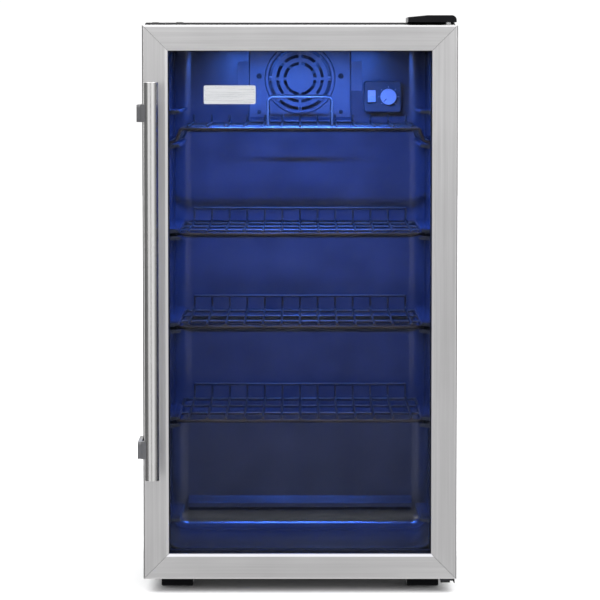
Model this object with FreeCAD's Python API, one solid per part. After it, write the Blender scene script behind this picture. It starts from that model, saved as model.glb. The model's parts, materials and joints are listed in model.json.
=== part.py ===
"""Free-standing glass-door mini fridge: one STEP file for every separate piece.

Millimetres.  While the pieces are drawn, x = 0 is the middle of the door, y = 0 is the
front plane of the door frame (+y is towards the back) and z = 0 is the floor.  save()
moves every piece so that the origin is the middle of the footprint, on the floor.
"""
import FreeCAD
import Part
import math
import os

V = FreeCAD.Vector

# ---------------------------------------------------------------- driving dimensions
DOOR_W = 456.0
DOOR_BOTTOM = 21.0
DOOR_TOP = 826.0
DOOR_T = 45.0
FRAME_W = 37.0              # visible width of a door stile or rail
BEVEL = 4.0                 # part of it that slopes back to the glass
BEVEL_DEPTH = 1.5
STEEL_SKIN = 1.4            # folded sheet of the door frame
MITRE_GAP = 0.25            # half of the joint between a stile and a rail
GLASS_INSET = 30.0          # from the door's edge to the glass's
GLASS_T = 4.0
GLASS_FRONT = 7.0
SPACER_T = 12.0
CABINET_W = 452.0
CABINET_FRONT = 55.0
CABINET_BACK = 478.0
CABINET_BOTTOM = 24.0
CABINET_TOP = 830.0
SHEET = 1.0                 # painted steel sheet
LINER_W = 394.0             # inside width of the cavity
LINER_FLOOR = 59.0
LINER_CEILING = 803.5
LINER_BACK = 433.0
LINER_T = 2.0
COVE = 26.0                 # rounding where the liner's walls meet
HUMP_FRONT = 275.0          # step in the liner over the machine bay
HUMP_TOP = 235.0
BAY_FRONT = 300.0
BAY_TOP = 206.0
RUN = 0.05                  # radial running fit of a pin or shaft
CLEAR = 0.4                 # air between pieces of different bodies

SHELF_DECKS = (675.0, 520.0, 382.5, 243.5)
SHELF_FRONT = 86.0
SHELF_BACK = 408.0
TOP_SHELF_DROP = 20.0       # the top shelf's side wires lie this far under its deck
FRAME_WIRE = 2.5            # radius
DECK_WIRE = 1.5             # radius
DECK_PITCH = 27.5
SIDE_WIRE_X = 181.0
TOP_WIRE_X = 190.0          # side wires of the top shelf
RAIL_X = 176.0              # inner edge of the shelf rails
RAIL_FRONT = 72.0
SPARE_RAILS = (702.0, 100.0)   # tops of the ledges that carry no shelf

HINGE_X = 214.0
HINGE_Y = 22.0
PIN_R = 4.0
HANDLE_X = -213.4
HANDLE_Y = -45.0
HANDLE_R = 10.5
HANDLE_BOTTOM = 171.0
HANDLE_TOP = 744.0
BRACKET_SPAN = 242.0        # from the middle of the handle to each bracket
BRACKET_PROUD = 6.4         # past the left edge of the door, screw heads included
SCREW_HEAD = 1.0

FAN_Z = 746.0
FAN_R = 43.0
GRILLE_R = 55.5
COVER_HALF = 80.0           # fan cover panel
COVER_BOTTOM = 684.0
COVER_FRONT = 427.0
LIP_RUN = 7.0               # sloping lip along the cover's lower edge
LIP_RISE = 5.0
POCKET_HALF = 74.0          # recess behind the fan cover
POCKET_BOTTOM = 694.0
POCKET_TOP = 797.0
POCKET_BACK = 456.0
LED_DROP = 11.0             # depth of the light housing under the ceiling

CONTROL_X0 = 100.0          # thermostat box on the back wall, right of the fan
CONTROL_X1 = 158.0
CONTROL_FRONT = 405.0
CONTROL_BOTTOM = 694.0
CONTROL_TOP = 742.0
CONTROL_Z = (CONTROL_BOTTOM + CONTROL_TOP) / 2
DIAL_X = 138.0
SWITCH_X = 112.0
SWITCH_TILT = 8.0           # degrees each way

COMPRESSOR_X = 30.0
COMPRESSOR_Y = 388.0
COMPRESSOR_R = 62.0
GLAND_AT = V(-150, CABINET_BACK - 12, CABINET_BOTTOM + 15)

DOOR_HALF = DOOR_W / 2
CABINET_HALF = CABINET_W / 2
LINER_HALF = LINER_W / 2
HANDLE_MID = (HANDLE_BOTTOM + HANDLE_TOP) / 2
BEAD = 1.5                  # height of the stiffening beads on the back panel

FOOTPRINT_FRONT = HANDLE_Y - HANDLE_R
FOOTPRINT_BACK = CABINET_BACK + BEAD
ORIGIN = V(-BRACKET_PROUD / 2, (FOOTPRINT_FRONT + FOOTPRINT_BACK) / 2, 0)

X = V(1, 0, 0)
Y = V(0, 1, 0)
Z = V(0, 0, 1)


# ---------------------------------------------------------------- shared shapes
def save(name, *solids):
    """Write one node; several separate solids become one compound."""
    shape = solids[0].copy() if len(solids) == 1 else Part.makeCompound(list(solids))
    shape.translate(ORIGIN.negative())
    shape.exportStep(os.path.join("parts", name + ".step"))


def box(x0, x1, y0, y1, z0, z1):
    return Part.makeBox(x1 - x0, y1 - y0, z1 - z0, V(x0, y0, z0))


def rod(start, end, radius):
    axis = end.sub(start)
    return Part.makeCylinder(radius, axis.Length, start, axis)


def tube(start, end, outer, inner):
    return rod(start, end, outer).cut(rod(start, end, inner))


def fuse(first, *others):
    """Join solids that overlap or touch into one."""
    return first.multiFuse(list(others)).removeSplitter()


def mirrored(shape):
    """The same piece on the other side of the middle plane."""
    return shape.mirror(V(0, 0, 0), X)


def edges_along(shape, axis):
    """Straight edges of a shape that run along one axis."""
    found = []
    for edge in shape.Edges:
        run = edge.lastVertex().Point.sub(edge.firstVertex().Point)
        if run.Length > 1e-6 and abs(run.normalize().dot(axis)) > 0.999:
            found.append(edge)
    return found


def rims(shape, centre):
    """Circular edges of a shape that are centred on one point."""
    return [edge for edge in shape.Edges if isinstance(edge.Curve, Part.Circle)
            and edge.Curve.Center.distanceToPoint(centre) < 0.01]


def rounded_box(x0, x1, y0, y1, z0, z1, radius, axis=Z):
    """A box with its edges along one axis rounded."""
    plain = box(x0, x1, y0, y1, z0, z1)
    return plain.makeFillet(radius, edges_along(plain, axis))


def soft_box(x0, x1, y0, y1, z0, z1, radius):
    """A box with every edge rounded."""
    plain = box(x0, x1, y0, y1, z0, z1)
    return plain.makeFillet(radius, plain.Edges)


def prism(points, direction):
    """A flat outline pushed along a vector."""
    outline = Part.makePolygon(list(points) + [points[0]])
    return Part.Face(outline).extrude(direction)


def bent_edges(points, bend):
    """Straight runs through the points, joined by tangent arcs."""
    edges = []
    start = points[0]
    for before, corner, after in zip(points, points[1:], points[2:]):
        back = before.sub(corner).normalize()
        ahead = after.sub(corner).normalize()
        half = back.getAngle(ahead) / 2
        middle = back.add(ahead).normalize()
        centre = corner.add(middle * (bend / math.sin(half)))
        arc_start = corner.add(back * (bend / math.tan(half)))
        arc_end = corner.add(ahead * (bend / math.tan(half)))
        arc_middle = centre.sub(middle * bend)
        edges.append(Part.LineSegment(start, arc_start).toShape())
        edges.append(Part.Arc(arc_start, arc_middle, arc_end).toShape())
        start = arc_end
    edges.append(Part.LineSegment(start, points[-1]).toShape())
    return edges


def bent_rod(points, radius, bend):
    """A round wire or pipe bent through the points."""
    path = Part.Wire(bent_edges(points, bend))
    circle = Part.makeCircle(radius, points[0], points[1].sub(points[0]))
    return path.makePipeShell([Part.Wire(circle)], True, False)


def pan_head(centre, axis, radius, height, shank):
    """A screw: domed head outside the surface at centre, shank along the axis into it."""
    head = rod(centre.sub(axis * height), centre, radius)
    head = head.makeFillet(height * 0.45, rims(head, centre.sub(axis * height)))
    slot_a = box(-radius * 0.6, radius * 0.6, -radius * 0.12, radius * 0.12, 0, height * 0.5)
    slot_b = box(-radius * 0.12, radius * 0.12, -radius * 0.6, radius * 0.6, 0, height * 0.5)
    cross = slot_a.fuse(slot_b)
    cross.Placement = FreeCAD.Placement(centre.sub(axis * height),
                                        FreeCAD.Rotation(Z, axis))
    body = head.cut(cross)
    return body.fuse(rod(centre, centre.add(axis * shank), radius * 0.5))


# ---------------------------------------------------------------- cabinet shell
def cavity(grow):
    """The cold space, made larger by the given wall thickness."""
    low = box(-LINER_HALF - grow, LINER_HALF + grow, 0, HUMP_FRONT + grow,
              LINER_FLOOR - grow, LINER_CEILING + grow)
    corners = [e for e in edges_along(low, Z) if e.BoundBox.YMin > 10]
    floor = [e for e in edges_along(low, Y) if e.BoundBox.ZMax < LINER_FLOOR + 1]
    floor += [e for e in edges_along(low, X) if e.BoundBox.ZMax < LINER_FLOOR + 1
              and e.BoundBox.YMin > 10]
    low = low.makeFillet(COVE + grow, corners + floor)
    high = box(-LINER_HALF - grow, LINER_HALF + grow, 100, LINER_BACK + grow,
               HUMP_TOP - grow, LINER_CEILING + grow)
    corners = [e for e in edges_along(high, Z) if e.BoundBox.YMin > 110]
    high = high.makeFillet(COVE + grow, corners)
    pocket = box(-POCKET_HALF - grow, POCKET_HALF + grow, LINER_BACK - 10, POCKET_BACK + grow,
                 POCKET_BOTTOM - grow, POCKET_TOP + grow)
    return fuse(low, high, pocket)


def hump_ledge():
    """Sloping ledge across the foot of the hump, level with the lowest side ledges."""
    z = SPARE_RAILS[1]
    outline = [V(0, HUMP_FRONT, z + 8), V(0, HUMP_FRONT - 12, z - 2), V(0, HUMP_FRONT - 12, z - 8),
               V(0, HUMP_FRONT, z - 14)]
    x = LINER_HALF - COVE
    return prism([p.add(V(-x, 0, 0)) for p in outline], V(2 * x, 0, 0))


def inner_liner():
    shell = cavity(LINER_T).cut(cavity(0))
    shell = shell.common(box(-300, 300, CABINET_FRONT, 600, 0, 900))
    return fuse(shell, hump_ledge())


def foam_insulation():
    side = CABINET_HALF - SHEET - 5.6       # leaves room for the condenser coil
    block = box(-side, side, CABINET_FRONT + 2, CABINET_BACK - 1.6,
                CABINET_BOTTOM + 1.4, CABINET_TOP - 1.8)
    block = block.cut(cavity(LINER_T))
    block = block.cut(box(-300, 300, BAY_FRONT - 1, 600, 0, BAY_TOP + 1))
    plate_slot = box(-152, 152, LINER_BACK + LINER_T, LINER_BACK + LINER_T + 8, 262, 672)
    return block.cut(plate_slot)


def side_panel_left():
    x0 = -CABINET_HALF
    sheet = box(x0, x0 + SHEET, CABINET_FRONT + 2, CABINET_BACK, CABINET_BOTTOM, CABINET_TOP - 8)
    slots = []
    for row in range(7):
        z = 60.0 + row * 18.0
        slots.append(box(x0 - 1, x0 + 3, 345, 435, z, z + 5))
    return sheet.cut(Part.makeCompound(slots))


def top_panel():
    outer = box(-CABINET_HALF, CABINET_HALF, CABINET_FRONT, CABINET_BACK,
                CABINET_TOP - 8, CABINET_TOP)
    upper = [e for e in outer.Edges if e.BoundBox.ZMin > CABINET_TOP - 1]
    outer = outer.makeFillet(3.0, upper + edges_along(outer, Z))
    wall = 1.4
    return outer.cut(box(-CABINET_HALF + wall, CABINET_HALF - wall, CABINET_FRONT + 2,
                         CABINET_BACK - wall, CABINET_TOP - 20, CABINET_TOP - wall))


def back_panel():
    x1 = CABINET_HALF - SHEET
    z0 = BAY_TOP + 1
    sheet = box(-x1, x1, CABINET_BACK - SHEET, CABINET_BACK, z0, CABINET_TOP - 8)
    beads = []
    for column in range(5):
        x = -140.0 + column * 70.0
        bead = rounded_box(x - 9, x + 9, CABINET_BACK - 0.5, CABINET_BACK + BEAD, z0 + 60,
                           CABINET_TOP - 70, 8.9, Y)
        beads.append(bead)
    return fuse(sheet, *beads)


def base_pan():
    x1 = CABINET_HALF - SHEET
    y1 = CABINET_BACK - SHEET
    floor = box(-x1, x1, CABINET_FRONT + 2, y1, CABINET_BOTTOM, CABINET_BOTTOM + 1.2)
    lip = box(-x1, x1, y1 - 1.2, y1, CABINET_BOTTOM, CABINET_BOTTOM + 28)
    pan = fuse(floor, lip)
    for x, y in bolt_places():
        pan = pan.cut(rod(V(x, y, 0), V(x, y, 60), 3.0))
    return pan.cut(rod(GLAND_AT, GLAND_AT.add(V(0, 30, 0)), 7.0))


def front_frame():
    plate = box(-CABINET_HALF, CABINET_HALF, CABINET_FRONT, CABINET_FRONT + 2,
                CABINET_BOTTOM, CABINET_TOP - 8)
    return plate.cut(cavity(LINER_T))


def machine_bay_divider():
    x1 = CABINET_HALF - SHEET - 0.2
    wall = box(-x1, x1, BAY_FRONT - 1, BAY_FRONT, CABINET_BOTTOM + 1.2, BAY_TOP + 1)
    roof = box(-x1, x1, BAY_FRONT, CABINET_BACK - SHEET, BAY_TOP, BAY_TOP + 1)
    return fuse(wall, roof)


def condenser_coil():
    """Warm pipe folded to and fro behind each side panel."""
    x = CABINET_HALF - SHEET - 2.7
    points = [V(x, 330, 240)]
    rows = 8
    for row in range(rows):
        z = 240.0 + row * 72.0
        ends = (110.0, 440.0) if row % 2 == 0 else (440.0, 110.0)
        points.append(V(x, ends[0], z))
        points.append(V(x, ends[0], z + 72.0))
    points = points[:-1]
    coil = bent_rod(points, 2.4, 14)
    return coil, mirrored(coil)


# ---------------------------------------------------------------- inside the cavity
def shelf_rails():
    """Moulded ledges of the right wall: a side wire runs between a lower and an upper one."""
    ledges = [(top, RAIL_X) for top in SPARE_RAILS]
    for number, deck in enumerate(SHELF_DECKS):
        wire_z = deck - (TOP_SHELF_DROP if number == 0 else 0)
        ledges.append((wire_z - FRAME_WIRE - 0.35, RAIL_X))
        if number > 0:
            ledges.append((wire_z + FRAME_WIRE + 5.0, RAIL_X + 2))
    rails = []
    for top, x in ledges:
        last = SHELF_BACK - 4 if top > HUMP_TOP + 20 else HUMP_FRONT - 30
        outline = [V(LINER_HALF, RAIL_FRONT, top - 7.0), V(LINER_HALF, RAIL_FRONT, top),
                   V(x + 1.5, RAIL_FRONT, top), V(x, RAIL_FRONT, top - 1.5),
                   V(x, RAIL_FRONT, top - 4.0)]
        rails.append(prism(outline, V(0, last - RAIL_FRONT, 0)))
    return rails


def deck_rods(deck, xs, rise):
    """Front-to-back wires welded on the frame, turned up at the back."""
    z = deck + FRAME_WIRE + DECK_WIRE - 0.8
    rods = []
    for x in xs:
        path = [V(x, SHELF_FRONT - 1.5, z), V(x, SHELF_BACK - 6, z), V(x, SHELF_BACK - 6, z + rise)]
        rods.append(bent_rod(path, DECK_WIRE, 6))
    return rods


def flat_shelf(deck):
    """Frame loop, thirteen deck wires, two stiffeners and a low back rail."""
    corner = 12.0
    front = SHELF_FRONT
    back = SHELF_BACK
    loop = [V(0, front, deck), V(SIDE_WIRE_X, front, deck), V(SIDE_WIRE_X, back, deck),
            V(-SIDE_WIRE_X, back, deck), V(-SIDE_WIRE_X, front, deck), V(0, front, deck)]
    frame = bent_rod(loop, FRAME_WIRE, corner)
    xs = [DECK_PITCH * (i - 6) for i in range(13)]
    pieces = deck_rods(deck, xs, 22)
    for y in (front + 108, front + 215):
        pieces.append(rod(V(-SIDE_WIRE_X, y, deck), V(SIDE_WIRE_X, y, deck), 2.0))
    top_z = deck + FRAME_WIRE + DECK_WIRE - 0.8 + 21
    pieces.append(rod(V(-DECK_PITCH * 6, back - 6, top_z), V(DECK_PITCH * 6, back - 6, top_z), 2.0))
    return fuse(frame, *pieces)


def top_shelf(deck):
    """Deck raised over its side wires, with a wire hoop that parts lying bottles."""
    low = deck - TOP_SHELF_DROP
    step = [V(-TOP_WIRE_X, 0, low), V(-182, 0, low + 1.5), V(-175, 0, deck)]
    step += [V(-p.x, 0, p.z) for p in reversed(step)]
    pieces = []
    for y in (SHELF_FRONT, SHELF_FRONT + 160, SHELF_BACK - 4):
        pieces.append(bent_rod([p.add(V(0, y, 0)) for p in step], FRAME_WIRE, 5))
    for side in (-1, 1):
        x = side * TOP_WIRE_X
        pieces.append(rod(V(x, SHELF_FRONT - 4, low), V(x, SHELF_BACK - 2, low), FRAME_WIRE))
    xs = [DECK_PITCH * (i - 6) for i in range(13)]
    pieces += deck_rods(deck, xs, 12)
    hoop_x = 48.0
    hoop_top = deck + 45
    for y in (SHELF_FRONT + 100, SHELF_FRONT + 230):
        hoop = [V(-hoop_x, y, deck), V(-hoop_x, y, hoop_top), V(hoop_x, y, hoop_top),
                V(hoop_x, y, deck)]
        pieces.append(bent_rod(hoop, 2.0, 8))
        pieces.append(rod(V(-hoop_x - 4, y, deck), V(hoop_x + 4, y, deck), 2.0))
    for x in (-hoop_x, hoop_x):
        start = V(x, SHELF_FRONT + 98, deck + 22)
        pieces.append(rod(start, start.add(V(0, 134, 0)), 1.8))
    return fuse(pieces[0], *pieces[1:])


def ring_slots(radius, width, count, bridge):
    """Curved slots on one circle, parted by straight bridges of the given width."""
    depth = 20.0
    start = V(0, COVER_FRONT - 10, FAN_Z)
    ring = tube(start, start.add(Y * depth), radius + width / 2, radius - width / 2)
    for index in range(count):
        bar = box(-bridge / 2, bridge / 2, start.y - 1, start.y + depth + 1,
                  FAN_Z, FAN_Z + radius + 20)
        bar.rotate(V(0, 0, FAN_Z), Y, index * 360.0 / count)
        ring = ring.cut(bar)
    return ring


def fan_grille():
    centre = V(0, COVER_FRONT, FAN_Z)
    front = COVER_FRONT - 4.0
    profile = [V(0, front + 1.0, FAN_Z), V(GRILLE_R - 7, front + 1.0, FAN_Z),
               V(GRILLE_R - 5.5, front, FAN_Z), V(GRILLE_R - 1.5, front, FAN_Z),
               V(GRILLE_R, front + 1.5, FAN_Z), V(GRILLE_R, COVER_FRONT, FAN_Z),
               V(0, COVER_FRONT, FAN_Z)]
    disc = Part.Face(Part.makePolygon(profile + [profile[0]])).revolve(centre, Y, 360)
    if isinstance(disc, Part.Shell):
        disc = Part.Solid(disc)
    for radius, count in ((23.6, 4), (35.0, 8), (46.5, 8)):
        disc = disc.cut(ring_slots(radius, 4.8, count, 4.2))
    return disc


def fan_cover():
    """Raised panel on the back wall, with a wing of air slots on each side."""
    wall = 2.2
    outer = box(-COVER_HALF, COVER_HALF, COVER_FRONT, LINER_BACK, COVER_BOTTOM, LINER_CEILING - 1)
    front = [e for e in outer.Edges if e.BoundBox.YMax < COVER_FRONT + 0.1]
    outer = outer.makeFillet(1.8, front)
    panel = outer.cut(box(-COVER_HALF + wall, COVER_HALF - wall, COVER_FRONT + wall, 500,
                          COVER_BOTTOM + wall, LINER_CEILING - 1 - wall))
    panel = panel.cut(rod(V(0, 400, FAN_Z), V(0, 500, FAN_Z), 50.5))
    for x in (-64, 64):
        panel = panel.cut(rod(V(x, 400, FAN_Z + 4), V(x, 500, FAN_Z + 4), 2.2))
    wings = []
    for side in (-1, 1):
        x0, x1 = sorted((side * (COVER_HALF - 1), side * 97.0))
        wing = box(x0, x1, LINER_BACK - 3, LINER_BACK, 727, 773)
        for row in range(8):
            z = 731.0 + row * 5.0
            s0, s1 = sorted((side * 83.0, side * 94.0))
            wing = wing.cut(box(s0, s1, 400, LINER_BACK - 1, z, z + 2.6))
        wings.append(wing)
    lip = prism([V(-COVER_HALF, COVER_FRONT + 1, COVER_BOTTOM + 2),
                 V(-COVER_HALF, COVER_FRONT, COVER_BOTTOM + 2),
                 V(-COVER_HALF, COVER_FRONT - LIP_RUN, COVER_BOTTOM + 2 - LIP_RISE),
                 V(-COVER_HALF, COVER_FRONT - LIP_RUN, COVER_BOTTOM - LIP_RISE),
                 V(-COVER_HALF, COVER_FRONT + 1, COVER_BOTTOM - LIP_RISE)],
                V(2 * COVER_HALF, 0, 0))
    foot = box(-COVER_HALF, COVER_HALF, COVER_FRONT, LINER_BACK, COVER_BOTTOM - LIP_RISE,
               COVER_BOTTOM + wall)
    return fuse(panel, lip, foot, *wings)


def fan_motor():
    """Motor can on a three-armed spider in the pocket, with its shaft."""
    back = POCKET_BACK
    can = rod(V(0, back - 9, FAN_Z), V(0, back, FAN_Z), 17.0)
    shaft = rod(V(0, back - 20, FAN_Z), V(0, back - 8, FAN_Z), 1.5)
    pieces = [shaft]
    for angle in (90, 270):
        arm = box(0, POCKET_HALF - 1, back - 5, back - 1, FAN_Z - 3, FAN_Z + 3)
        arm.rotate(V(0, 0, FAN_Z), Y, angle - 90)
        pieces.append(arm)
    foot = box(-3, 3, back - 5, back - 1, POCKET_BOTTOM + 0.5, FAN_Z)
    pieces.append(foot)
    return fuse(can, *pieces)


def fan_blade():
    """Seven pitched blades on a hub that runs on the motor shaft."""
    front = COVER_FRONT + 5.0
    back = POCKET_BACK - 10.0
    hub = rod(V(0, front, FAN_Z), V(0, back, FAN_Z), 17.0)
    middle = (front + back) / 2
    blades = []
    for index in range(7):
        blade = box(14, FAN_R + 4, middle - 0.9, middle + 0.9, -11, 11)
        blade.translate(V(0, 0, FAN_Z))
        blade.rotate(V(0, middle, FAN_Z), X, 32)
        blade.rotate(V(0, 0, FAN_Z), Y, index * 360.0 / 7)
        blades.append(blade)
    ring = rod(V(0, front + 0.5, FAN_Z), V(0, back - 0.5, FAN_Z), FAN_R)
    rotor = fuse(hub, *blades).common(ring.fuse(hub))
    bore = rod(V(0, POCKET_BACK - 21, FAN_Z), V(0, back + 1, FAN_Z), 1.5 + RUN)
    return rotor.cut(bore)


def cover_screws():
    screws = []
    for x in (-64.0, 64.0):
        screws.append(pan_head(V(x, COVER_FRONT, FAN_Z + 4), Y, 4.2, 2.4, 5.0))
    for x in (-64.0, 64.0):
        screws.append(pan_head(V(x, COVER_FRONT, COVER_BOTTOM + 10), Y, 3.2, 1.8, 2.0))
    return screws


def evaporator_plate():
    """Cold plate with its pipe, foamed in behind the liner's back wall."""
    y = LINER_BACK + LINER_T
    plate = box(-150, 150, y, y + 1.5, 264, 670)
    points = []
    for row in range(6):
        z = 290.0 + row * 70.0
        ends = (-130.0, 130.0) if row % 2 == 0 else (130.0, -130.0)
        points.append(V(ends[0], y + 4.0, z))
        points.append(V(ends[1], y + 4.0, z))
    return fuse(plate, bent_rod(points, 3.0, 20))


def led_housing():
    body = rounded_box(-130, 130, 70, 100, LINER_CEILING - LED_DROP, LINER_CEILING, 4, Z)
    return body.cut(box(-126, 126, 73, 97, LINER_CEILING - 30, LINER_CEILING - 2))


def led_lens():
    """Frosted cover in the mouth of the housing, crowned downwards."""
    y0 = 73.3
    y1 = 96.7
    z = LINER_CEILING - LED_DROP
    start = V(-125.5, y0, z + 2)
    arc = Part.Arc(start, V(-125.5, (y0 + y1) / 2, z - 2), V(-125.5, y1, z + 2)).toShape()
    closing = Part.LineSegment(V(-125.5, y1, z + 2), start).toShape()
    return Part.Face(Part.Wire([arc, closing])).extrude(V(251, 0, 0))


def led_board():
    z = LINER_CEILING - 2
    strip = box(-124, 124, 79, 91, z - 1.2, z)
    chips = []
    for index in range(12):
        x = -110.0 + index * 20.0
        chips.append(box(x - 2.5, x + 2.5, 82.5, 87.5, z - 2.4, z - 1.0))
    return fuse(strip, *chips)


def control_box():
    """Open-backed housing on the back wall, with a spindle hole and a switch slot."""
    wall = 2.0
    outer = rounded_box(CONTROL_X0, CONTROL_X1, CONTROL_FRONT, LINER_BACK, CONTROL_BOTTOM,
                        CONTROL_TOP, 5, Y)
    front = [e for e in outer.Edges if e.BoundBox.YMax < CONTROL_FRONT + 0.1]
    outer = outer.makeFillet(1.5, front)
    shell = outer.cut(box(CONTROL_X0 + wall, CONTROL_X1 - wall, CONTROL_FRONT + wall,
                          LINER_BACK + 5, CONTROL_BOTTOM + wall, CONTROL_TOP - wall))
    z = CONTROL_Z
    shell = shell.cut(rod(V(DIAL_X, CONTROL_FRONT - 5, z), V(DIAL_X, CONTROL_FRONT + 5, z), 5))
    slot = box(SWITCH_X - 6.6, SWITCH_X + 6.6, CONTROL_FRONT - 5, CONTROL_FRONT + 5,
               z - 11, z + 11)
    return shell.cut(slot)


def thermostat_body():
    z = CONTROL_Z
    case = rounded_box(DIAL_X - 14, DIAL_X + 14, CONTROL_FRONT + 4, LINER_BACK,
                       z - 13, z + 13, 2, Y)
    return fuse(case, rod(V(DIAL_X, CONTROL_FRONT - 10, z), V(DIAL_X, CONTROL_FRONT + 6, z), 3.0))


def thermostat_dial():
    """Fluted knob on the thermostat's spindle, with a raised pointer."""
    z = CONTROL_Z
    back = CONTROL_FRONT - CLEAR
    front = back - 13.0
    knob = rod(V(DIAL_X, front, z), V(DIAL_X, back, z), 12.5)
    knob = knob.makeFillet(1.2, [e for e in knob.Edges if e.BoundBox.YMax < front + 0.1])
    flutes = []
    for index in range(20):
        angle = 2 * math.pi * index / 20
        x = DIAL_X + 13.1 * math.cos(angle)
        fz = z + 13.1 * math.sin(angle)
        flutes.append(rod(V(x, front - 1, fz), V(x, back - 2, fz), 1.2))
    knob = knob.cut(Part.makeCompound(flutes))
    pointer = box(DIAL_X - 0.9, DIAL_X + 0.9, front - 0.8, front + 1, z + 3, z + 11.5)
    bore = rod(V(DIAL_X, CONTROL_FRONT - 10.5, z), V(DIAL_X, back + 1, z), 3.0 + RUN)
    return knob.fuse(pointer).cut(bore)


def light_switch():
    """Rocker, drawn level and then tipped to its resting side."""
    z = CONTROL_Z
    pivot = V(SWITCH_X, CONTROL_FRONT + 3.5, z)
    half = 9.2
    outline = [V(0, -7.4, half), V(0, -5.4, 0), V(0, -7.4, -half), V(0, 0, -half),
               V(0, 3.5, -4.0), V(0, 3.5, 4.0), V(0, 0, half)]
    outline = [p.add(V(SWITCH_X - 6.0, pivot.y, z)) for p in outline]
    rocker = prism(outline, V(12.0, 0, 0))
    rocker.rotate(pivot, X, -SWITCH_TILT)
    return rocker


# ---------------------------------------------------------------- machine bay
def bolt_places():
    return [(COMPRESSOR_X + sx * 72, COMPRESSOR_Y + sy * 46) for sx in (-1, 1) for sy in (-1, 1)]


def compressor_can(shrink):
    """Domed can of the compressor, or its inside when shrunk by the wall."""
    bottom = 42.0 + shrink
    top = 164.0 - shrink
    plain = Part.makeCylinder(COMPRESSOR_R - shrink, top - bottom,
                              V(COMPRESSOR_X, COMPRESSOR_Y, bottom))
    low = [e for e in plain.Edges if e.BoundBox.ZMax < bottom + 0.1]
    high = [e for e in plain.Edges if e.BoundBox.ZMin > top - 0.1]
    return plain.makeFillet(24 - shrink / 2, low).makeFillet(38 - shrink / 2, high)


def compressor():
    """Hermetic can with a weld seam, a foot plate and the pump's space inside."""
    seam = Part.makeCylinder(COMPRESSOR_R + 2.5, 6, V(0, 0, 96)).cut(
        Part.makeCylinder(COMPRESSOR_R - 4, 6, V(0, 0, 96)))
    foot = rounded_box(-84, 84, -56, 56, 41, 44, 14, Z)
    foot = foot.cut(rounded_box(-100, -58, -30, 30, 40, 46, 8, Z))
    foot = foot.cut(rounded_box(58, 100, -30, 30, 40, 46, 8, Z))
    skirt = Part.makeCylinder(34, 16, V(0, 0, 43))
    base = fuse(seam, foot, skirt)
    base.translate(V(COMPRESSOR_X, COMPRESSOR_Y, 0))
    whole = fuse(compressor_can(0), base).cut(compressor_can(12))
    for x, y in bolt_places():
        whole = whole.cut(rod(V(x, y, 35), V(x, y, 50), 5.0))
    return whole


def compressor_grommets():
    grommets = []
    for x, y in bolt_places():
        z0 = CABINET_BOTTOM + 1.2
        foot = rod(V(x, y, z0), V(x, y, 41), 9.5)
        waist = tube(V(x, y, z0 + 6), V(x, y, z0 + 9), 12, 8.2)
        grommets.append(foot.cut(waist).cut(rod(V(x, y, 20), V(x, y, 45), 3.2)))
    return grommets


def hexagon(x, y, z0, z1, radius):
    corners = []
    for index in range(6):
        angle = math.radians(60 * index)
        corners.append(V(x + radius * math.cos(angle), y + radius * math.sin(angle), z0))
    return prism(corners, V(0, 0, z1 - z0))


def compressor_bolts():
    bolts = []
    for x, y in bolt_places():
        shank = rod(V(x, y, CABINET_BOTTOM - 3), V(x, y, 52), 2.9)
        head = hexagon(x, y, CABINET_BOTTOM - 4, CABINET_BOTTOM, 5.5)
        washer = rod(V(x, y, 44), V(x, y, 45.4), 8.0)
        nut = hexagon(x, y, 45.4, 50, 5.5)
        bolts.append(fuse(shank, head, washer, nut))
    return bolts


def start_relay_cover(can):
    """Rounded plastic box that clips against the side of the can."""
    x0 = COMPRESSOR_X + 46
    cover = soft_box(x0, COMPRESSOR_X + 88, COMPRESSOR_Y - 27, COMPRESSOR_Y + 27, 74, 132, 4)
    return cover.cut(can)


def refrigerant_tubes(can):
    """Suction and discharge pipes and the crimped filling stub."""
    x = COMPRESSOR_X
    y = COMPRESSOR_Y
    suction = bent_rod([V(x - 52, y - 14, 118), V(x - 94, y - 14, 118), V(x - 94, y - 14, BAY_TOP)],
                       4.0, 14)
    discharge = bent_rod([V(x - 52, y + 10, 84), V(x - 112, y + 10, 84), V(x - 112, y + 10, 50),
                          V(-160, y + 10, 50), V(-160, y + 10, 76)], 2.8, 9)
    filling = bent_rod([V(x - 40, y + 36, 112), V(x - 66, y + 60, 112), V(x - 66, y + 60, 150)],
                       3.0, 10)
    liquid = bent_rod([V(-160, y + 10, 166), V(-160, y + 10, 186), V(-190, y + 10, 186),
                       V(-190, y + 10, BAY_TOP)], 2.0, 7)
    return [suction.cut(can), discharge.cut(can), filling.cut(can), liquid]


def filter_drier():
    x = -160.0
    y = COMPRESSOR_Y + 10
    lower = Part.makeCone(3.2, 9.0, 12, V(x, y, 76), Z)
    body = Part.makeCylinder(9.0, 66, V(x, y, 88))
    upper = Part.makeCone(9.0, 2.6, 12, V(x, y, 154), Z)
    return fuse(lower, body, upper)


def drip_tray():
    """Open tray that stands on the warm compressor."""
    x = COMPRESSOR_X
    y = COMPRESSOR_Y
    outer = rounded_box(x - 58, x + 58, y - 44, y + 44, 172, 194, 10, Z)
    inner = rounded_box(x - 56, x + 56, y - 42, y + 42, 174, 210, 8, Z)
    posts = []
    for sx, sy in ((-1, -1), (1, -1), (-1, 1), (1, 1)):
        posts.append(rod(V(x + sx * 24, y + sy * 24, 140), V(x + sx * 24, y + sy * 24, 173), 4))
    return fuse(outer.cut(inner), *posts)


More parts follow.
